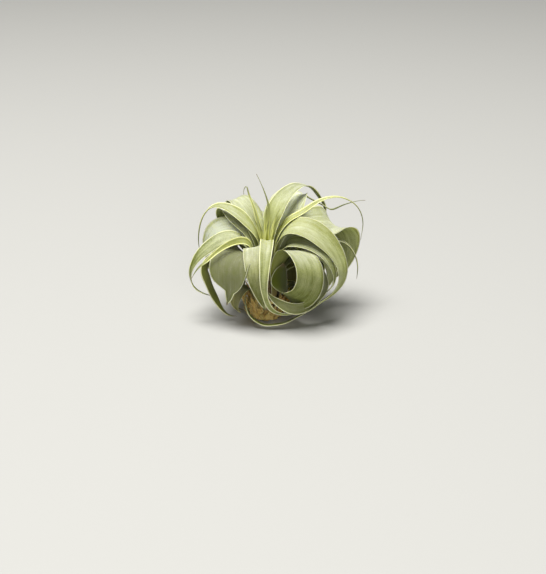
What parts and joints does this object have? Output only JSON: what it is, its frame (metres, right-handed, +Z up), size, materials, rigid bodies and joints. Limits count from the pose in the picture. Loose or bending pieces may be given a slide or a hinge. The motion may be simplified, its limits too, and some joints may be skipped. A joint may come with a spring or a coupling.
{
  "type": "air plant",
  "caption": "Rosette air plant: channelled silvery strap leaves that rise from a short stem, arch out and curl down and under, with dry sheaths round a flat foot.",
  "frame": {"origin": "middle of the flat dried foot of the stem, which the plant stands on", "axes": "+Z up the stem, +X to the viewer's right in the picture, -Y towards the viewer"},
  "size_m": [0.1467, 0.1148, 0.1222],
  "materials": {
    "leaf": "matte, silvery grey-green with a fine scurf of scales",
    "heart_leaf": "matte, yellow-green, thinner scurf",
    "old_leaf": "matte, dull dark green, drying",
    "sheath": "papery, straw to golden brown, dry",
    "stump": "rough dried stem, brown"
  },
  "bodies": {
    "root": {"stem": "stump", "heart_spike": "heart_leaf", "heart_left": "heart_leaf", "heart_a": "heart_leaf", "heart_b": "heart_leaf", "heart_c": "heart_leaf", "heart_d": "heart_leaf", "heart_e": "heart_leaf", "heart_f": "heart_leaf", "heart_g": "heart_leaf", "crest_back_left": "leaf", "left_thread": "leaf", "left_scroll": "leaf", "top_right_arch": "leaf", "right_thread": "leaf", "back_right_pale": "leaf", "left_shoulder": "leaf", "left_arch": "leaf", "left_ribbon": "leaf", "left_sickle": "old_leaf", "front_left_blade": "leaf", "front_strap": "leaf", "front_ribbon": "leaf", "right_sweep": "leaf", "right_under_sweep": "leaf", "front_ring": "leaf", "front_low_band": "leaf", "right_scroll": "leaf", "right_inner": "leaf", "right_mid": "leaf", "back_a": "leaf", "back_b": "leaf", "back_c": "leaf", "back_d": "leaf", "back_e": "leaf", "back_f": "leaf", "back_g": "leaf", "back_h": "leaf", "low_left": "old_leaf", "low_right": "old_leaf", "low_right_front": "old_leaf", "low_back_left": "old_leaf", "dry_sheath_a": "sheath", "dry_sheath_b": "sheath", "dry_sheath_c": "sheath", "dry_sheath_d": "sheath", "dry_sheath_e": "sheath", "dry_sheath_f": "sheath", "dry_sheath_g": "sheath", "dry_sheath_h": "sheath"}
  },
  "joints": []
}
